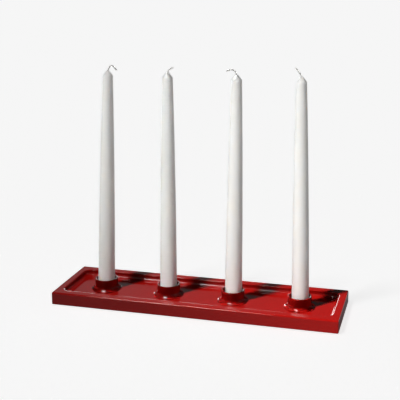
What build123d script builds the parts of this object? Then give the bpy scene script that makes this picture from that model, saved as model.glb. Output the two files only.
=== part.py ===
"""Advent candle holder: an enamelled tray with a row of screwed-on cups, each holding a taper candle.

Millimetres. Z is up and z = 0 is the table top. The origin is under the middle of the tray,
X runs along the row of candles from left to right, and Y runs from front to back.
"""

import os
from math import radians, sin

from build123d import *

# Row of cups
cup_count = 4
cup_pitch = 87.5
end_margin = 56.25

# Tray
tray_width = 104.0
rim_width_long = 11.5
rim_width_end = 10.0
recess_depth = 8.0
recess_corner_radius = 11.0
recess_foot_round = 4.5
rim_inner_round = 1.4
outer_edge_round = 2.0
skirt_foot_round = 1.0
floor_thickness = 3.2
skirt_wall = 5.0
pocket_corner_radius = 4.0

# Taper candle
candle_diameter = 22.0
candle_length = 288.5
candle_base_round = 0.8
candle_waist_height_share = 0.5
candle_waist_radius_share = 0.875
candle_shoulder_height_share = 0.978
candle_shoulder_radius_share = 0.6
candle_shoulder_round = 3.0
candle_tip_wax = 0.7
candle_seat_clearance = 0.3
candle_leans_deg = (2.1, 0.6, 0.8, -0.65)
candle_shifts = (0, 0, 0.7, 0.8)

# Wick, with the places along X and Z that its free end bends through, seen from the candle's tip
wick_diameter = 1.8
wick_bore_clearance = 0.05
wick_bend_radius = 2.5
wick_routes = (
    ((0, 0.8), (5.6, 5.9), (12.2, 0.4)),
    ((0, 0.8), (3.2, 4.8), (7.8, 6.6)),
    ((0, 0.8), (-3.5, 5.4), (-8.8, 6.0), (-13.0, 3.4)),
    ((0, 0.8), (-4.6, 7.9), (-7.9, 10.2)),
)

# Candle cup
socket_depth = 10.0
socket_clearance = 0.9
socket_widening = 1.3
lip_wall = 2.0
lip_round = 0.9
flare_reach = 4.8
flare_rise = 4.8
flare_hollow_radius = 12.0
flare_top_round = 3.0
flare_edge = 0.4
flare_edge_round = 0.2
seat_cover = 0.6
tap_runout = 0.4
thread_clearance = 0.05

# Cup screw
screw_diameter = 4.0
screw_length = 8.0
screw_tip_chamfer = 0.5
screw_head_diameter = 8.0
screw_head_height = 2.6
screw_head_round = 1.1
screw_recess_length = 4.4
screw_recess_width = 1.0
screw_recess_depth = 1.4
screw_hole_clearance = 0.25
screw_head_clearance = 1.9

# Washer
washer_diameter = 9.0
washer_thickness = 0.8
washer_clearance = 0.15

# Rubber foot
foot_diameter = 12.0
foot_taper = 0.8
foot_round = 0.8
foot_protrusion = 0.8
foot_wall_gap = 3.0

# How far a cutting shape runs past the face it cuts, and how exactly an edge is found by its height
cut_overrun = 1.0
height_tolerance = 0.001

# Heights, from the table up
pocket_depth = washer_thickness + screw_head_height + screw_head_clearance
skirt_height = pocket_depth + floor_thickness + recess_depth
pocket_z = foot_protrusion + pocket_depth
floor_z = pocket_z + floor_thickness
rim_z = floor_z + recess_depth
screw_engagement = screw_length - washer_thickness - floor_thickness
tapped_depth = screw_engagement + tap_runout
cup_base = tapped_depth + seat_cover
cup_height = cup_base + socket_depth
seat_z = floor_z + cup_base

# Plan sizes
tray_length = (cup_count - 1) * cup_pitch + 2 * end_margin
pocket_length = tray_length - 2 * skirt_wall
pocket_width = tray_width - 2 * skirt_wall
cup_xs = [(index - (cup_count - 1) / 2) * cup_pitch for index in range(cup_count)]

# Radii
candle_radius = candle_diameter / 2
wick_radius = wick_diameter / 2
screw_radius = screw_diameter / 2
screw_head_radius = screw_head_diameter / 2
foot_radius = foot_diameter / 2
seat_radius = candle_radius + socket_clearance
mouth_radius = seat_radius + socket_widening
cup_radius = mouth_radius + lip_wall
flare_outer_radius = cup_radius + flare_reach


def on_base(length, width, height):
    """A box that stands on z = 0."""
    return Box(length, width, height, align=(Align.CENTER, Align.CENTER, Align.MIN))


def rounded_block(length, width, corner_radius, low_z, high_z):
    """An upright block with rounded corners in plan."""
    outline = RectangleRounded(length, width, corner_radius)
    return Pos(0, 0, low_z) * extrude(outline, high_z - low_z)


def turned(section):
    """A body of revolution about Z from half its section, drawn with X outwards and Y up."""
    return revolve(Plane.XZ * section, Axis.Z)


def rounded_corner(section, corner, radius):
    """A section with its corner at one point rounded."""
    return fillet(section.vertices().sort_by_distance(corner)[0], radius)


def edges_at(solid, height):
    """The edges that lie level at one height."""
    return solid.edges().filter_by_position(Axis.Z, height - height_tolerance, height + height_tolerance)


def tray():
    """The enamelled tray: a flat rim and skirt, a recess above and a shallow pocket below."""
    body = Pos(0, 0, foot_protrusion) * on_base(tray_length, tray_width, skirt_height)
    outer_edges = body.edges().filter_by(Axis.Z) + edges_at(body, rim_z)
    body = fillet(outer_edges, outer_edge_round)
    body = fillet(edges_at(body, foot_protrusion), skirt_foot_round)

    recess_length = tray_length - 2 * rim_width_end
    recess_width = tray_width - 2 * rim_width_long
    recess = rounded_block(recess_length, recess_width, recess_corner_radius, floor_z, rim_z + cut_overrun)
    body -= fillet(edges_at(recess, floor_z), recess_foot_round)
    body -= rounded_block(
        pocket_length, pocket_width, pocket_corner_radius, foot_protrusion - cut_overrun, pocket_z
    )
    rim = body.faces().sort_by(Axis.Z)[-1]
    body = fillet(rim.inner_wires()[0].edges(), rim_inner_round)

    hole = Cylinder(screw_radius + screw_hole_clearance, floor_thickness + 2 * cut_overrun)
    for x in cup_xs:
        body -= Pos(x, 0, pocket_z + floor_thickness / 2) * hole
    return body


def candle_cup():
    """A turned cup: a tapering socket, a thin rounded lip, a flared foot with a soft edge, a tapped base."""
    flare_top = flare_edge + flare_rise
    thread_radius = screw_radius + thread_clearance
    socket_and_wall = Polyline(
        (thread_radius, tapped_depth),
        (0, tapped_depth),
        (0, cup_base),
        (seat_radius, cup_base),
        (mouth_radius, cup_height),
        (cup_radius, cup_height),
        (cup_radius, flare_top),
    )
    flare = RadiusArc((cup_radius, flare_top), (flare_outer_radius, flare_edge), -flare_hollow_radius)
    foot_and_thread = Polyline(
        (flare_outer_radius, flare_edge),
        (flare_outer_radius, 0),
        (thread_radius, 0),
        (thread_radius, tapped_depth),
    )
    section = make_face([*socket_and_wall.edges(), flare, *foot_and_thread.edges()])
    section = rounded_corner(section, (mouth_radius, cup_height), lip_round)
    section = rounded_corner(section, (cup_radius, cup_height), lip_round)
    section = rounded_corner(section, (cup_radius, flare_top), flare_top_round)
    section = rounded_corner(section, (flare_outer_radius, flare_edge), flare_edge_round)
    return Pos(0, 0, floor_z) * turned(section)


def cup_screw():
    """A pan-head screw, head down under the tray, with a cross recess."""
    head_top = pocket_z - washer_thickness
    head = Cylinder(screw_head_radius, screw_head_height, align=(Align.CENTER, Align.CENTER, Align.MIN))
    head = fillet(edges_at(head, 0), screw_head_round)
    head -= on_base(screw_recess_length, screw_recess_width, screw_recess_depth)
    head -= on_base(screw_recess_width, screw_recess_length, screw_recess_depth)
    shank = Cylinder(screw_radius, screw_length, align=(Align.CENTER, Align.CENTER, Align.MIN))
    shank = chamfer(edges_at(shank, screw_length), screw_tip_chamfer)
    return Pos(0, 0, head_top - screw_head_height) * (head + Pos(0, 0, screw_head_height) * shank)


def washer():
    """The flat washer between a screw head and the underside of the tray."""
    ring = Circle(washer_diameter / 2) - Circle(screw_radius + washer_clearance)
    return Pos(0, 0, pocket_z - washer_thickness) * extrude(ring, washer_thickness)


def foot():
    """A rubber foot that fills the height of the pocket and stands a little below the skirt."""
    body = Cone(
        foot_radius - foot_taper, foot_radius, pocket_z, align=(Align.CENTER, Align.CENTER, Align.MIN)
    )
    return fillet(edges_at(body, 0), foot_round)


def candle():
    """A taper candle standing on z = 0: a gently bowed taper, a rounded shoulder and a blunt tip."""
    waist = (candle_waist_radius_share * candle_radius, candle_waist_height_share * candle_length)
    shoulder = (candle_shoulder_radius_share * candle_radius, candle_shoulder_height_share * candle_length)
    tip_radius = wick_radius + candle_tip_wax
    base = Polyline((0, candle_length), (0, 0), (candle_radius, 0))
    taper = ThreePointArc((candle_radius, 0), waist, shoulder)
    tip = Polyline(shoulder, (tip_radius, candle_length), (0, candle_length))
    section = make_face([*base.edges(), taper, *tip.edges()])
    section = rounded_corner(section, (candle_radius, 0), candle_base_round)
    section = rounded_corner(section, shoulder, candle_shoulder_round)
    body = turned(section)
    bore = Cylinder(
        wick_radius + wick_bore_clearance,
        candle_length + 2 * cut_overrun,
        align=(Align.CENTER, Align.CENTER, Align.MIN),
    )
    return body - Pos(0, 0, -cut_overrun) * bore


def wick(route):
    """A wick that runs up through the whole candle and bends over above its tip."""
    bends = [(x, 0, candle_length + z) for x, z in route]
    radii = [wick_bend_radius] * (len(bends) - 1)
    path = FilletPolyline((0, 0, 0), *bends, radius=radii)
    return sweep(Plane(path @ 0, z_dir=path % 0) * Circle(wick_radius), path=path)


def standing_in_cup(index):
    """Where a candle stands: a little aside, leaning, with its low edge just above the seat of its cup."""
    lean = candle_leans_deg[index % len(candle_leans_deg)]
    shift = candle_shifts[index % len(candle_shifts)]
    lift = candle_radius * abs(sin(radians(lean))) + candle_seat_clearance
    return Location((cup_xs[index] + shift, 0, seat_z + lift), (0, lean, 0))


def foot_places():
    """The four corners of the pocket, by name."""
    x = pocket_length / 2 - foot_radius - foot_wall_gap
    y = pocket_width / 2 - foot_radius - foot_wall_gap
    return {
        "front_left": (-x, -y, 0),
        "front_right": (x, -y, 0),
        "back_left": (-x, y, 0),
        "back_right": (x, y, 0),
    }


def holder_nodes():
    """Every piece of the holder by its name, in its place."""
    nodes = {"tray": tray()}
    for index, x in enumerate(cup_xs):
        number = index + 1
        place = standing_in_cup(index)
        nodes[f"candle_cup_{number}"] = Pos(x, 0, 0) * candle_cup()
        nodes[f"candle_{number}"] = place * candle()
        nodes[f"wick_{number}"] = place * wick(wick_routes[index % len(wick_routes)])
    nodes["cup_screws"] = Compound(children=[Pos(x, 0, 0) * cup_screw() for x in cup_xs])
    nodes["cup_washers"] = Compound(children=[Pos(x, 0, 0) * washer() for x in cup_xs])
    for corner, place in foot_places().items():
        nodes[f"foot_{corner}"] = Pos(*place) * foot()
    return nodes


os.makedirs("parts", exist_ok=True)
for name, shape in holder_nodes().items():
    export_step(shape, f"parts/{name}.step")
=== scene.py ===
"""Looks of the advent candle holder: an enamelled tray and cups, taper candles and their braided wicks.

Metres, in the part's own frame: Z up, z = 0 on the table, X along the row of candles from left to right,
Y from front to back.
"""

from collections import namedtuple
from math import cos, pi, radians, sin, sqrt

import bmesh
import bpy
from mathutils import Matrix, Vector, noise


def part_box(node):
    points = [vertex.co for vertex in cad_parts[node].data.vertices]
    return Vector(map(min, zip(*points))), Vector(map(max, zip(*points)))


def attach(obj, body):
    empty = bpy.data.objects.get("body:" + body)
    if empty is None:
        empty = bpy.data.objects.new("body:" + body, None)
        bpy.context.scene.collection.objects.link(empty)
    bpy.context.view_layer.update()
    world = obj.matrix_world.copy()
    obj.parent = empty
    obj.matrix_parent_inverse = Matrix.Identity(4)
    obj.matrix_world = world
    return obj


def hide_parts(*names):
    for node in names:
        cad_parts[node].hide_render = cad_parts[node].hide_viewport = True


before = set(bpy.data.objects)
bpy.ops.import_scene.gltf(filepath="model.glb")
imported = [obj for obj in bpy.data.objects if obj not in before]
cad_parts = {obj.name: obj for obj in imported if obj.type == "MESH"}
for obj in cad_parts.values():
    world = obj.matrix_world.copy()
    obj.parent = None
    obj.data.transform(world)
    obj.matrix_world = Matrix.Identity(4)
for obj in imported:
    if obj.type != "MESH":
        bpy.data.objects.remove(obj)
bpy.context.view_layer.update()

MM = 0.001

# Tray: what its box does not tell
rim_width_long = 11.5 * MM
rim_width_end = 10.0 * MM
skirt_wall = 5.0 * MM
recess_corner_radius = 11.0 * MM
pocket_corner_radius = 4.0 * MM
outer_corner_radius = 2.0 * MM
outer_edge_round = 1.95 * MM
skirt_foot_round = 1.0 * MM
pocket_lip_round = 0.4 * MM
pocket_foot_round = 1.0 * MM
rim_inner_round = 1.4 * MM
recess_foot_round = 4.5 * MM
corner_steps = 16
edge_steps = 6
wide_round_steps = 10

# How far apart the tray's outlines lie while they are bridged
ring_step = 5.0 * MM

# Candle cup
socket_depth = 10.0 * MM
seat_radius = 11.9 * MM
mouth_radius = 13.2 * MM
cup_radius = 15.2 * MM
lip_round = 0.95 * MM
seat_round = 1.2 * MM
flare_rise = 4.8 * MM
flare_hollow_radius = 6.0 * MM
flare_top_round = 0.7 * MM
flare_edge = 0.4 * MM
flare_edge_round = 0.2 * MM
flare_steps = 8
tapped_depth = 4.4 * MM
thread_radius = 2.05 * MM

# Taper candle: its radius falls with height by a straight and a square share
candle_radius = 11.0 * MM
candle_length = 288.5 * MM
candle_straight_share = 0.0837
candle_square_share = 0.3326
candle_shoulder_share = 0.978
candle_base_round = 0.8 * MM
candle_shoulder_round = 0.9 * MM
candle_tip_radius = 1.6 * MM
candle_tip_round = 0.5 * MM
candle_bore_radius = 0.95 * MM
candle_seat_clearance = 0.3 * MM
candle_leans = (radians(2.1), radians(0.6), radians(0.8), radians(-0.65))
candle_shifts = (0.0, 0.0, 0.7 * MM, 0.8 * MM)
candle_rings = 120
wax_ripple = 0.12 * MM
wax_ripple_size = 26.0 * MM

# Wick: the places along X and Z that its free end bends through, seen from the candle's tip, in millimetres
wick_routes = (
    ((0, -3.0), (0, 0.8), (5.6, 9.6), (12.3, 0.6)),
    ((0, -3.0), (0, 0.8), (3.2, 4.8), (7.8, 6.6)),
    ((0, -3.0), (0, 0.8), (-3.5, 5.4), (-8.8, 6.0), (-13.0, 3.4)),
    ((0, -3.0), (0, 0.8), (-4.6, 7.9), (-7.9, 10.2)),
)
wick_curve_order = 3
wick_curve_steps = 24
strand_count = 3
strand_radius = 0.40 * MM
strand_round_steps = 1
braid_half_width = 0.48 * MM
braid_half_depth = 0.24 * MM
braid_pitch = 6.5 * MM
braid_step = 0.5 * MM

# Rubber foot
foot_corners = ("front_left", "front_right", "back_left", "back_right")
foot_taper = 0.8 * MM
foot_round = 0.8 * MM
foot_cup_radius_share = 0.55
foot_cup_depth = 0.25 * MM

# How the pieces are meshed
turn_steps = 96
merge_distance = 0.001 * MM
flat_face_weight = 100

# Soft mottle that every finish has, and the part of its range that the roughness follows
mottle_broad_detail = 3.0
mottle_fine_detail = 4.0
mottle_fine_share = 0.35
mottle_low = 0.25
mottle_high = 0.75

# Finishes: scales are those of the broad and the fine mottle, colours and roughnesses the ends of a range
Finish = namedtuple("Finish", "name scales colours roughnesses relief_strength relief_depth")
enamel_finish = Finish(
    name="glossy_red_enamel",
    scales=(30.0, 160.0),
    colours=((0.25, 0.0035, 0.0025), (0.29, 0.0045, 0.0035)),
    roughnesses=(0.05, 0.09),
    relief_strength=0.25,
    relief_depth=0.02 * MM,
)
wax_finish = Finish(
    name="white_candle_wax",
    scales=(45.0, 420.0),
    colours=((0.84, 0.83, 0.80), (0.89, 0.885, 0.87)),
    roughnesses=(0.38, 0.5),
    relief_strength=0.3,
    relief_depth=0.03 * MM,
)
cotton_finish = Finish(
    name="waxed_wick_cotton",
    scales=(700.0, 4000.0),
    colours=((0.50, 0.49, 0.465), (0.68, 0.67, 0.64)),
    roughnesses=(0.6, 0.85),
    relief_strength=0.6,
    relief_depth=0.06 * MM,
)
zinc_finish = Finish(
    name="zinc_plated_steel",
    scales=(600.0, 2500.0),
    colours=((0.48, 0.49, 0.52), (0.66, 0.67, 0.68)),
    roughnesses=(0.26, 0.42),
    relief_strength=0.25,
    relief_depth=0.02 * MM,
)
rubber_finish = Finish(
    name="matt_foot_rubber",
    scales=(250.0, 1800.0),
    colours=((0.012, 0.012, 0.013), (0.028, 0.027, 0.026)),
    roughnesses=(0.72, 0.9),
    relief_strength=0.5,
    relief_depth=0.05 * MM,
)
enamel_ior = 1.5
wax_ior = 1.44
rubber_ior = 1.52
wax_glow_depth = 4.0 * MM
wax_glow_shares = (1.0, 0.97, 0.93)
cotton_sheen = 0.2

# Camera, fitted to the corners of the tray and the rims of the cups
image_width_px = 400
focal_length_px = 850.0
principal_point_px = (230.0, 145.0)
camera_place = Vector((296.469, -1006.632, 432.872)) * MM
camera_yaw = radians(14.2994)
camera_pitch = radians(11.8605)
sensor_width_mm = 36.0

# Studio floor: its level to the camera, in gloss from front to back, and to the pieces from left to right
backdrop_level = 0.921
floor_size = 40.0
floor_albedo = 0.6
floor_front_gloss = 0.05
floor_back_gloss = 0.6
floor_front_y = -0.1
floor_back_y = 0.6
floor_bounce_left = 0.28
floor_bounce_right = 0.48
floor_left_x = -0.25
floor_right_x = 0.3

# World: what the gloss sees of the backdrop and the room, by the parts of a direction along X, Y and Z
world_fill = 0.015
backdrop_gloss = 0.5
backdrop_full_z = 0.08
backdrop_end_z = 0.22
room_gloss_left = 0.28
room_gloss_right = 0.045
room_left_x = -0.55
room_right_x = -0.05
room_start_y = 0.6
room_full_y = 0.84

# Light on the floor, for the shadow
floor_light_strength = 0.72
floor_light_azimuth = radians(-42)
floor_light_elevation = radians(60)
floor_light_softness = radians(10)
floor_light_distance = 3.0

# Softboxes: each is seen from its target at an azimuth from the front and an elevation
Softbox = namedtuple("Softbox", "azimuth elevation distance target spread size power")
tray_key = Softbox(
    azimuth=radians(-47),
    elevation=radians(71),
    distance=3.07,
    target=(0.19, 0, 0.1),
    spread=radians(20.5),
    size=(0.18, 0.18),
    power=2.4,
)
skirt_fill = Softbox(
    azimuth=radians(20),
    elevation=radians(1),
    distance=0.25,
    target=(0.17, -0.05, 0.008),
    spread=radians(120),
    size=(0.1, 0.03),
    power=0.14,
)
cup_key = Softbox(
    azimuth=radians(-76),
    elevation=radians(65),
    distance=3.0,
    target=(0.36, 0, 0.1),
    spread=radians(20.5),
    size=(0.5, 0.5),
    power=4.2,
)
wax_key = Softbox(
    azimuth=radians(-36),
    elevation=radians(30),
    distance=3.0,
    target=(0.2, 0, 0.13),
    spread=radians(20.5),
    size=(0.5, 0.5),
    power=1.14,
)
wax_fill = Softbox(
    azimuth=radians(2),
    elevation=radians(12),
    distance=1.0,
    target=(-0.1, 0, 0.18),
    spread=radians(150),
    size=(0.6, 0.6),
    power=1.2,
)
wax_back = Softbox(
    azimuth=radians(160),
    elevation=radians(15),
    distance=1.5,
    target=(0, 0, 0.15),
    spread=radians(150),
    size=(0.8, 0.8),
    power=2.5,
)
wax_top = Softbox(
    azimuth=radians(-60),
    elevation=radians(86),
    distance=1.5,
    target=(0, 0, 0.3),
    spread=radians(150),
    size=(0.5, 0.5),
    power=3.0,
)
tray_gleam = Softbox(
    azimuth=radians(0),
    elevation=radians(58),
    distance=2.0,
    target=(-0.6, 0, 0),
    spread=radians(180),
    size=(0.7, 0.3),
    power=18.0,
)
cup_gleam = Softbox(
    azimuth=radians(0),
    elevation=radians(71),
    distance=2.78,
    target=(-0.75, 0, 0.1),
    spread=radians(180),
    size=(0.95, 0.5),
    power=60.0,
)
back_gleam = Softbox(
    azimuth=radians(-159.4),
    elevation=radians(8.5),
    distance=2.5,
    target=(0, 0, 0),
    spread=radians(180),
    size=(1.2, 0.6),
    power=13.0,
)


def mottle_group():
    """Two sizes of soft unevenness on Object coordinates: a mask from 0 to 1 and a height for bumps."""
    group = bpy.data.node_groups.new("soft_mottle", "ShaderNodeTree")
    for name in ("Broad Scale", "Fine Scale"):
        group.interface.new_socket(name, in_out="INPUT", socket_type="NodeSocketFloat")
    for name in ("Mask", "Height"):
        group.interface.new_socket(name, in_out="OUTPUT", socket_type="NodeSocketFloat")
    nodes = group.nodes
    links = group.links
    values_in = nodes.new("NodeGroupInput")
    values_out = nodes.new("NodeGroupOutput")
    place = nodes.new("ShaderNodeTexCoord")
    broad = nodes.new("ShaderNodeTexNoise")
    broad.inputs["Detail"].default_value = mottle_broad_detail
    fine = nodes.new("ShaderNodeTexNoise")
    fine.inputs["Detail"].default_value = mottle_fine_detail
    both = nodes.new("ShaderNodeMix")
    both.inputs["Factor"].default_value = mottle_fine_share
    links.new(place.outputs["Object"], broad.inputs["Vector"])
    links.new(place.outputs["Object"], fine.inputs["Vector"])
    links.new(values_in.outputs["Broad Scale"], broad.inputs["Scale"])
    links.new(values_in.outputs["Fine Scale"], fine.inputs["Scale"])
    links.new(broad.outputs["Fac"], both.inputs["A"])
    links.new(fine.outputs["Fac"], both.inputs["B"])
    links.new(both.outputs["Result"], values_out.inputs["Mask"])
    links.new(fine.outputs["Fac"], values_out.inputs["Height"])
    return group


def colour_mix(nodes, first, second):
    """A mix of two colours. Returns its factor socket and its result."""
    mix = nodes.new("ShaderNodeMix")
    mix.data_type = "RGBA"
    sockets = {socket.identifier: socket for socket in (*mix.inputs, *mix.outputs)}
    sockets["A_Color"].default_value = (*first, 1.0)
    sockets["B_Color"].default_value = (*second, 1.0)
    return sockets["Factor_Float"], sockets["Result_Color"]


def mottled_material(mottle, finish):
    """A principled material whose colour, roughness and relief vary with the mottle.

    Returns the material and its shader, for the finish's own settings.
    """
    material = bpy.data.materials.new(finish.name)
    material.use_nodes = True
    nodes = material.node_tree.nodes
    links = material.node_tree.links
    shader = nodes["Principled BSDF"]
    pattern = nodes.new("ShaderNodeGroup")
    pattern.node_tree = mottle
    broad_scale, fine_scale = finish.scales
    pattern.inputs["Broad Scale"].default_value = broad_scale
    pattern.inputs["Fine Scale"].default_value = fine_scale
    colour_factor, colour = colour_mix(nodes, *finish.colours)
    smoothest, roughest = finish.roughnesses
    rough = nodes.new("ShaderNodeMapRange")
    rough.inputs["From Min"].default_value = mottle_low
    rough.inputs["From Max"].default_value = mottle_high
    rough.inputs["To Min"].default_value = smoothest
    rough.inputs["To Max"].default_value = roughest
    relief = nodes.new("ShaderNodeBump")
    relief.inputs["Strength"].default_value = finish.relief_strength
    relief.inputs["Distance"].default_value = finish.relief_depth
    links.new(pattern.outputs["Mask"], colour_factor)
    links.new(colour, shader.inputs["Base Color"])
    links.new(pattern.outputs["Mask"], rough.inputs["Value"])
    links.new(rough.outputs["Result"], shader.inputs["Roughness"])
    links.new(pattern.outputs["Height"], relief.inputs["Height"])
    links.new(relief.outputs["Normal"], shader.inputs["Normal"])
    return material, shader


def red_enamel(mottle):
    """Deep glossy red enamel with a trace of orange peel."""
    material, shader = mottled_material(mottle, enamel_finish)
    shader.inputs["IOR"].default_value = enamel_ior
    return material


def candle_wax(mottle):
    """White stearin: satin, a little see-into, with faint clouding."""
    material, shader = mottled_material(mottle, wax_finish)
    shader.inputs["Subsurface Weight"].default_value = 1.0
    shader.inputs["Subsurface Radius"].default_value = wax_glow_shares
    shader.inputs["Subsurface Scale"].default_value = wax_glow_depth
    shader.inputs["IOR"].default_value = wax_ior
    return material


def wick_cotton(mottle):
    """Waxed white cotton yarn."""
    material, shader = mottled_material(mottle, cotton_finish)
    shader.inputs["Sheen Weight"].default_value = cotton_sheen
    return material


def zinc_steel(mottle):
    """Zinc-plated steel with the spangle of the plating."""
    material, shader = mottled_material(mottle, zinc_finish)
    shader.inputs["Metallic"].default_value = 1.0
    return material


def foot_rubber(mottle):
    """Matt black moulded rubber."""
    material, shader = mottled_material(mottle, rubber_finish)
    shader.inputs["IOR"].default_value = rubber_ior
    return material


def add_piece(name, bm, material, body, nodes):
    """The finished piece from a bmesh: it rides on a body, stands for CAD nodes and takes a material slot."""
    bmesh.ops.remove_doubles(bm, verts=bm.verts, dist=merge_distance)
    bmesh.ops.recalc_face_normals(bm, faces=bm.faces)
    mesh = bpy.data.meshes.new(name)
    bm.to_mesh(mesh)
    bm.free()
    mesh.shade_smooth()
    mesh.materials.append(material)
    piece = bpy.data.objects.new(name, mesh)
    bpy.context.scene.collection.objects.link(piece)
    flat_faces = piece.modifiers.new("flat_faces_stay_flat", "WEIGHTED_NORMAL")
    flat_faces.mode = "FACE_AREA"
    flat_faces.weight = flat_face_weight
    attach(piece, body)
    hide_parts(*nodes)
    return piece


def rounded_ring(bm, half_length, half_width, corner_radius, height):
    """A level outline with rounded corners: its face and its edges."""
    corners = [
        bm.verts.new((-half_length, -half_width, height)),
        bm.verts.new((half_length, -half_width, height)),
        bm.verts.new((half_length, half_width, height)),
        bm.verts.new((-half_length, half_width, height)),
    ]
    bm.faces.new(corners)
    rounded = bmesh.ops.bevel(
        bm,
        geom=corners,
        offset=corner_radius,
        segments=corner_steps,
        profile=0.5,
        affect="VERTICES",
        material=-1,
    )
    face = rounded["verts"][0].link_faces[0]
    return face, list(face.edges)


def round_edges(bm, edges, radius, steps):
    """Rounds a run of edges."""
    bmesh.ops.bevel(
        bm, geom=edges, offset=radius, segments=steps, profile=0.5, affect="EDGES", material=-1
    )


def enamel_tray(material):
    """The tray: skirt, flat rim, recess with a rounded foot, and the pocket underneath.

    Its outlines are bridged one above the other, moved to their heights, and then rounded.
    """
    low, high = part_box("tray")
    floor_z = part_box("candle_cup_1")[0].z
    pocket_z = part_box("foot_front_left")[1].z
    length = high.x
    width = high.y
    pocket = (length - skirt_wall, width - skirt_wall, pocket_corner_radius)
    recess = (length - rim_width_end, width - rim_width_long, recess_corner_radius)
    outside = (length, width, outer_corner_radius)

    bm = bmesh.new()
    rings = [
        (pocket, pocket_z, pocket_foot_round, edge_steps),
        (pocket, low.z, pocket_lip_round, edge_steps),
        (outside, low.z, skirt_foot_round, edge_steps),
        (outside, high.z, outer_edge_round, edge_steps),
        (recess, high.z, rim_inner_round, edge_steps),
        (recess, floor_z, recess_foot_round, wide_round_steps),
    ]
    outlines = [rounded_ring(bm, *ring[0], index * ring_step) for index, ring in enumerate(rings)]
    bmesh.ops.delete(bm, geom=[face for face, edges in outlines[1:-1]], context="FACES_ONLY")
    for (face, edges), (next_face, next_edges) in zip(outlines, outlines[1:]):
        bmesh.ops.bridge_loops(bm, edges=edges + next_edges)
    for index, ((face, edges), (outline, height, radius, steps)) in enumerate(zip(outlines, rings)):
        corners = list({corner for edge in edges for corner in edge.verts})
        bmesh.ops.translate(bm, verts=corners, vec=(0, 0, height - index * ring_step))
    bmesh.ops.recalc_face_normals(bm, faces=bm.faces)
    for (face, edges), (outline, height, radius, steps) in zip(outlines, rings):
        round_edges(bm, edges, radius, steps)
    return add_piece("enamel_tray", bm, material, "holder", ["tray"])


def turned(points, rounds, place):
    """A bmesh turned about Z from half a section: points are (radius, height), rounds are by point index."""
    bm = bmesh.new()
    corners = [bm.verts.new((radius, 0, height)) for radius, height in points]
    for corner, next_corner in zip(corners, corners[1:]):
        bm.edges.new((corner, next_corner))
    for index, (radius, steps) in rounds.items():
        bmesh.ops.bevel(
            bm,
            geom=[corners[index]],
            offset=radius,
            segments=steps,
            profile=0.5,
            affect="VERTICES",
            material=-1,
        )
    bmesh.ops.spin(
        bm,
        geom=bm.verts[:] + bm.edges[:],
        axis=(0, 0, 1),
        cent=(0, 0, 0),
        angle=2 * pi,
        steps=turn_steps,
        use_merge=True,
    )
    bmesh.ops.transform(bm, matrix=place, verts=bm.verts)
    return bm


def hollow_arc(start, end, radius, steps):
    """The points between two places in a section, on an arc that is hollow upwards and outwards."""
    start = Vector(start)
    end = Vector(end)
    chord = end - start
    outwards = Vector((chord.y, -chord.x)).normalized()
    centre = (start + end) / 2 + outwards * sqrt(radius ** 2 - chord.length_squared / 4)
    first = (start - centre).normalized()
    last = (end - centre).normalized()
    return [centre + radius * first.slerp(last, step / steps) for step in range(1, steps)]


def enamel_cup(number, material):
    """A cup: a tapering socket, a thin rounded lip and a foot that flares out into the floor of the tray."""
    node = f"candle_cup_{number}"
    low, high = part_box(node)
    height = high.z - low.z
    seat_height = height - socket_depth
    flare_radius = (high.x - low.x) / 2
    flare_foot = (flare_radius, flare_edge)
    flare_top = (cup_radius, flare_edge + flare_rise)
    points = [
        (0, tapped_depth),
        (thread_radius, tapped_depth),
        (thread_radius, 0),
        (flare_radius, 0),
        flare_foot,
        *hollow_arc(flare_foot, flare_top, flare_hollow_radius, flare_steps),
        flare_top,
        (cup_radius, height),
        (mouth_radius, height),
        (seat_radius, seat_height),
        (0, seat_height),
    ]
    rounds = {
        points.index(flare_foot): (flare_edge_round, edge_steps),
        points.index(flare_top): (flare_top_round, edge_steps),
        points.index((cup_radius, height)): (lip_round, edge_steps),
        points.index((mouth_radius, height)): (lip_round, edge_steps),
        points.index((seat_radius, seat_height)): (seat_round, edge_steps),
    }
    bm = turned(points, rounds, Matrix.Translation(((low.x + high.x) / 2, 0, low.z)))
    return add_piece(f"enamel_cup_{number}", bm, material, "holder", [node])


def standing_in_cup(number):
    """Where a candle stands: a little aside, leaning, its low edge just above the seat of its cup."""
    low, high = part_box(f"candle_cup_{number}")
    lean = candle_leans[number - 1]
    lift = candle_radius * abs(sin(lean)) + candle_seat_clearance
    x = (low.x + high.x) / 2 + candle_shifts[number - 1]
    seat = Matrix.Translation((x, 0, high.z - socket_depth + lift))
    return seat @ Matrix.Rotation(lean, 4, "Y")


def taper_radius(share):
    """The candle's radius at a share of its length."""
    return candle_radius * (1 - candle_straight_share * share - candle_square_share * share * share)


def ripple_wax(bm, seed):
    """Draws the wax in by a trace, unevenly, as dipping leaves it."""
    for vert in bm.verts:
        radius = vert.co.xy.length
        if radius > candle_tip_radius:
            spot = vert.co / wax_ripple_size
            depth = wax_ripple * (1 + noise.noise(spot + Vector((seed, 0, 0)))) / 2
            vert.co.xy *= (radius - depth) / radius


def wax_candle(number, material):
    """A taper candle with its bore, a bowed side, a soft shoulder and a blunt tip."""
    points = [(candle_bore_radius, 0), (candle_radius, 0)]
    for ring in range(1, candle_rings + 1):
        share = candle_shoulder_share * ring / candle_rings
        points.append((taper_radius(share), share * candle_length))
    shoulder = points[-1]
    tip = (candle_tip_radius, candle_length)
    points += [tip, (candle_bore_radius, candle_length), (candle_bore_radius, 0)]
    rounds = {
        points.index((candle_radius, 0)): (candle_base_round, edge_steps),
        points.index(shoulder): (candle_shoulder_round, wide_round_steps),
        points.index(tip): (candle_tip_round, edge_steps),
    }
    bm = turned(points, rounds, Matrix.Identity(4))
    ripple_wax(bm, number)
    bmesh.ops.transform(bm, matrix=standing_in_cup(number), verts=bm.verts)
    nodes = [f"candle_{number}"]
    return add_piece(f"wax_candle_{number}", bm, material, f"taper_{number}", nodes)


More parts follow.
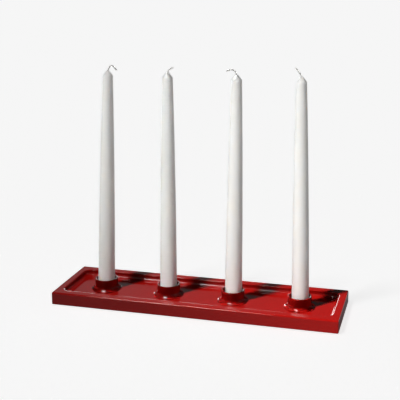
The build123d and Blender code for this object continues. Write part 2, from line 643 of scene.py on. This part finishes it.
def mesh_of_curve(curve):
    """The mesh that a curve makes. The curve is removed."""
    holder = bpy.data.objects.new(curve.name, curve)
    bpy.context.scene.collection.objects.link(holder)
    bpy.context.view_layer.update()
    mesh = bpy.data.meshes.new_from_object(holder)
    bpy.data.objects.remove(holder)
    bpy.data.curves.remove(curve)
    return mesh


def smooth_route(route):
    """Points along the smooth line of a wick, from the candle's foot to the wick's end."""
    curve = bpy.data.curves.new("wick_route", "CURVE")
    curve.dimensions = "3D"
    curve.resolution_u = wick_curve_steps
    spline = curve.splines.new("NURBS")
    places = [Vector((0, 0, 0))] + [Vector((x * MM, 0, candle_length + z * MM)) for x, z in route]
    spline.points.add(len(places) - 1)
    for point, place in zip(spline.points, places):
        point.co = (*place, 1.0)
    spline.order_u = wick_curve_order
    spline.use_endpoint_u = True
    line = mesh_of_curve(curve)
    points = [vert.co.copy() for vert in line.vertices]
    bpy.data.meshes.remove(line)
    return points


def evenly_spaced(points, step):
    """The same line as points one step apart, each with the line's direction there."""
    spaced = []
    to_go = 0.0
    for start, end in zip(points, points[1:]):
        run = (end - start).length
        while to_go <= run:
            spaced.append((start.lerp(end, to_go / run), (end - start).normalized()))
            to_go += step
        to_go -= run
    return spaced


def braided_wick(number, material):
    """A flat braid of three strands that follows the wick's route."""
    line = evenly_spaced(smooth_route(wick_routes[number - 1]), braid_step)
    curve = bpy.data.curves.new("wick_strands", "CURVE")
    curve.dimensions = "3D"
    curve.bevel_depth = strand_radius
    curve.bevel_resolution = strand_round_steps
    curve.use_fill_caps = True
    for strand in range(strand_count):
        spline = curve.splines.new("POLY")
        spline.points.add(len(line) - 1)
        for index, (place, along) in enumerate(line):
            turn = 2 * pi * (index * braid_step / braid_pitch + strand / strand_count)
            across = Vector((along.z, 0, -along.x))
            offset = across * braid_half_width * sin(turn)
            offset += Vector((0, 1, 0)) * braid_half_depth * sin(2 * turn)
            spline.points[index].co = (*(place + offset), 1.0)
    strands = mesh_of_curve(curve)
    bm = bmesh.new()
    bm.from_mesh(strands)
    bpy.data.meshes.remove(strands)
    bmesh.ops.transform(bm, matrix=standing_in_cup(number), verts=bm.verts)
    nodes = [f"wick_{number}"]
    return add_piece(f"braided_wick_{number}", bm, material, f"taper_{number}", nodes)


def rubber_foot(corner, material):
    """A rubber foot, slightly cupped underneath."""
    node = f"foot_{corner}"
    low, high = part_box(node)
    radius = (high.x - low.x) / 2
    centre = (low + high) / 2
    cup = foot_cup_radius_share * radius
    outer_edge = (radius - foot_taper, 0)
    points = [
        (0, foot_cup_depth),
        (cup, foot_cup_depth),
        (cup + foot_cup_depth, 0),
        outer_edge,
        (radius, high.z),
        (0, high.z),
    ]
    rounds = {points.index(outer_edge): (foot_round, edge_steps)}
    bm = turned(points, rounds, Matrix.Translation((centre.x, centre.y, 0)))
    return add_piece(f"rubber_{node}", bm, material, "holder", [node])


def dress_node(node, material):
    """A CAD node that stays, with its finish."""
    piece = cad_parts[node]
    piece.data.materials.clear()
    piece.data.materials.append(material)
    return piece


def build_holder():
    """Every piece of the holder with its finish.

    Returns the tray with its feet and fasteners, the tray first, then the cups, then the candles with
    their wicks.
    """
    mottle = mottle_group()
    enamel = red_enamel(mottle)
    wax = candle_wax(mottle)
    cotton = wick_cotton(mottle)
    zinc = zinc_steel(mottle)
    rubber = foot_rubber(mottle)
    tray_and_fittings = [enamel_tray(enamel)]
    cups = []
    candles = []
    for number in range(1, len(wick_routes) + 1):
        cups.append(enamel_cup(number, enamel))
        candles.append(wax_candle(number, wax))
        candles.append(braided_wick(number, cotton))
    for corner in foot_corners:
        tray_and_fittings.append(rubber_foot(corner, rubber))
    for node in ("cup_screws", "cup_washers"):
        tray_and_fittings.append(dress_node(node, zinc))
    return tray_and_fittings, cups, candles


def add_camera():
    """The camera at the photograph's place, level, with the small shift of its framing."""
    data = bpy.data.cameras.new("photo_camera")
    centre_x, centre_y = principal_point_px
    data.sensor_width = sensor_width_mm
    data.lens = focal_length_px / image_width_px * sensor_width_mm
    data.shift_x = 0.5 - centre_x / image_width_px
    data.shift_y = centre_y / image_width_px - 0.5
    camera = bpy.data.objects.new("photo_camera", data)
    turn = Matrix.Rotation(camera_yaw, 4, "Z") @ Matrix.Rotation(pi / 2 - camera_pitch, 4, "X")
    camera.matrix_world = Matrix.Translation(camera_place) @ turn
    bpy.context.scene.collection.objects.link(camera)
    bpy.context.scene.camera = camera


def aim(light, azimuth, elevation, distance, target):
    """Puts a light at an azimuth from the front, an elevation and a distance, looking at a target."""
    away = Vector((sin(azimuth) * cos(elevation), -cos(azimuth) * cos(elevation), sin(elevation)))
    light.location = Vector(target) + away * distance
    light.rotation_euler = away.to_track_quat("Z", "Y").to_euler()


def only_on(light, pieces):
    """A light that falls on some pieces alone."""
    receivers = bpy.data.collections.new(f"{light.name}_receivers")
    for piece in pieces:
        receivers.objects.link(piece)
    light.light_linking.receiver_collection = receivers


def add_softbox(name, softbox, pieces):
    """An oval softbox that lights some pieces alone and stays out of the picture."""
    data = bpy.data.lights.new(name, "AREA")
    data.shape = "ELLIPSE"
    data.size, data.size_y = softbox.size
    data.energy = softbox.power
    data.spread = softbox.spread
    light = bpy.data.objects.new(name, data)
    light.visible_camera = False
    aim(light, softbox.azimuth, softbox.elevation, softbox.distance, softbox.target)
    bpy.context.scene.collection.objects.link(light)
    only_on(light, pieces)
    return light


def add_key(name, softbox, pieces):
    """A softbox that lights pieces without showing in their gloss."""
    light = add_softbox(name, softbox, pieces)
    light.visible_glossy = False


def add_gleam(name, softbox, pieces):
    """A softbox that shows in the gloss of pieces without lighting them."""
    light = add_softbox(name, softbox, pieces)
    light.visible_diffuse = False


def add_floor_light(floor):
    """A sun with soft edges on the floor alone, for the shadow."""
    data = bpy.data.lights.new("floor_light", "SUN")
    data.energy = floor_light_strength
    data.angle = floor_light_softness
    light = bpy.data.objects.new("floor_light", data)
    aim(light, floor_light_azimuth, floor_light_elevation, floor_light_distance, (0, 0, 0))
    bpy.context.scene.collection.objects.link(light)
    only_on(light, [floor])


def math_node(nodes, links, operation, first, second):
    """A math node on two inputs, each a socket or a number. Returns its result."""
    node = nodes.new("ShaderNodeMath")
    node.operation = operation
    for socket, value in zip(node.inputs, (first, second)):
        if isinstance(value, (int, float)):
            socket.default_value = value
        else:
            links.new(value, socket)
    return node.outputs[0]


def ramp_node(nodes, links, value, start, end):
    """A smooth ramp of a value: start and end are (value, result)."""
    node = nodes.new("ShaderNodeMapRange")
    node.interpolation_type = "SMOOTHSTEP"
    links.new(value, node.inputs["Value"])
    node.inputs["From Min"].default_value, node.inputs["To Min"].default_value = start
    node.inputs["From Max"].default_value, node.inputs["To Max"].default_value = end
    return node.outputs["Result"]


def mirror_rays(nodes, links):
    """The Light Path node, and a socket that is 1 on glossy and transmission rays."""
    rays = nodes.new("ShaderNodeLightPath")
    mirrored = math_node(
        nodes, links, "MAXIMUM", rays.outputs["Is Glossy Ray"], rays.outputs["Is Transmission Ray"]
    )
    return rays, mirrored


def floor_material():
    """Pale: the backdrop's level to the camera, dimmer near the object in gloss, and it takes a shadow."""
    material = bpy.data.materials.new("pale_floor")
    material.use_nodes = True
    nodes = material.node_tree.nodes
    links = material.node_tree.links
    nodes.clear()
    output = nodes.new("ShaderNodeOutputMaterial")
    lit = nodes.new("ShaderNodeBsdfDiffuse")
    lit.inputs["Color"].default_value = (floor_albedo, floor_albedo, floor_albedo, 1.0)
    glow = nodes.new("ShaderNodeEmission")
    both = nodes.new("ShaderNodeAddShader")
    place = nodes.new("ShaderNodeTexCoord")
    split = nodes.new("ShaderNodeSeparateXYZ")
    rays, mirrored = mirror_rays(nodes, links)
    links.new(place.outputs["Object"], split.inputs["Vector"])
    front = (floor_front_y, floor_front_gloss)
    back = (floor_back_y, floor_back_gloss)
    depth = ramp_node(nodes, links, split.outputs["Y"], front, back)
    in_gloss = math_node(nodes, links, "MULTIPLY", mirrored, depth)
    lit_level = floor_albedo * (floor_light_strength * sin(floor_light_elevation) / pi + world_fill)
    seen = math_node(nodes, links, "MULTIPLY", rays.outputs["Is Camera Ray"], backdrop_level - lit_level)
    left = (floor_left_x, floor_bounce_left)
    right = (floor_right_x, floor_bounce_right)
    side = ramp_node(nodes, links, split.outputs["X"], left, right)
    bounce = math_node(nodes, links, "MULTIPLY", rays.outputs["Is Diffuse Ray"], side)
    level = math_node(nodes, links, "ADD", seen, in_gloss)
    level = math_node(nodes, links, "ADD", level, bounce)
    links.new(level, glow.inputs["Strength"])
    links.new(lit.outputs["BSDF"], both.inputs[0])
    links.new(glow.outputs["Emission"], both.inputs[1])
    links.new(both.outputs["Shader"], output.inputs["Surface"])
    return material


def pale_floor():
    """The wide pale floor that the holder stands on."""
    bm = bmesh.new()
    bmesh.ops.create_grid(bm, x_segments=1, y_segments=1, size=floor_size)
    mesh = bpy.data.meshes.new("pale_floor")
    bm.to_mesh(mesh)
    bm.free()
    mesh.materials.append(floor_material())
    floor = bpy.data.objects.new("pale_floor", mesh)
    bpy.context.scene.collection.objects.link(floor)
    return floor


def studio_world():
    """Plain and pale to the camera; in gloss a low backdrop under a dim room that is lighter on the left."""
    world = bpy.data.worlds.new("studio")
    world.use_nodes = True
    bpy.context.scene.world = world
    nodes = world.node_tree.nodes
    links = world.node_tree.links
    background = nodes["Background"]
    background.inputs["Color"].default_value = (1.0, 1.0, 1.0, 1.0)
    direction = nodes.new("ShaderNodeTexCoord")
    split = nodes.new("ShaderNodeSeparateXYZ")
    links.new(direction.outputs["Generated"], split.inputs["Vector"])
    rays, mirrored = mirror_rays(nodes, links)
    left = (room_left_x, room_gloss_left)
    right = (room_right_x, room_gloss_right)
    side = ramp_node(nodes, links, split.outputs["X"], left, right)
    behind = ramp_node(nodes, links, split.outputs["Y"], (room_start_y, 0.0), (room_full_y, 1.0))
    room = math_node(nodes, links, "MULTIPLY", side, behind)
    backdrop = ramp_node(
        nodes, links, split.outputs["Z"], (backdrop_full_z, backdrop_gloss), (backdrop_end_z, 0.0)
    )
    in_gloss = math_node(nodes, links, "MAXIMUM", room, backdrop)
    in_gloss = math_node(nodes, links, "MULTIPLY", in_gloss, mirrored)
    seen = math_node(nodes, links, "MULTIPLY", rays.outputs["Is Camera Ray"], backdrop_level)
    fill = math_node(nodes, links, "MULTIPLY", rays.outputs["Is Diffuse Ray"], world_fill)
    level = math_node(nodes, links, "ADD", seen, in_gloss)
    level = math_node(nodes, links, "ADD", level, fill)
    links.new(level, background.inputs["Strength"])


def add_studio(tray_and_fittings, cups, candles):
    """Floor, world, soft keys for each kind of piece, and the gleams in the enamel."""
    tray = tray_and_fittings[0]
    add_floor_light(pale_floor())
    studio_world()
    add_key("tray_key", tray_key, tray_and_fittings)
    add_key("skirt_fill", skirt_fill, [tray])
    add_key("cup_key", cup_key, cups)
    add_key("wax_key", wax_key, candles)
    add_key("wax_fill", wax_fill, candles)
    add_key("wax_back", wax_back, candles)
    add_key("wax_top", wax_top, candles)
    add_gleam("tray_gleam", tray_gleam, [tray])
    add_gleam("cup_gleam", cup_gleam, cups)
    add_gleam("back_gleam", back_gleam, [tray, *cups])


bpy.context.scene.view_settings.view_transform = "Standard"
tray_and_fittings, cups, candles = build_holder()
add_camera()
add_studio(tray_and_fittings, cups, candles)
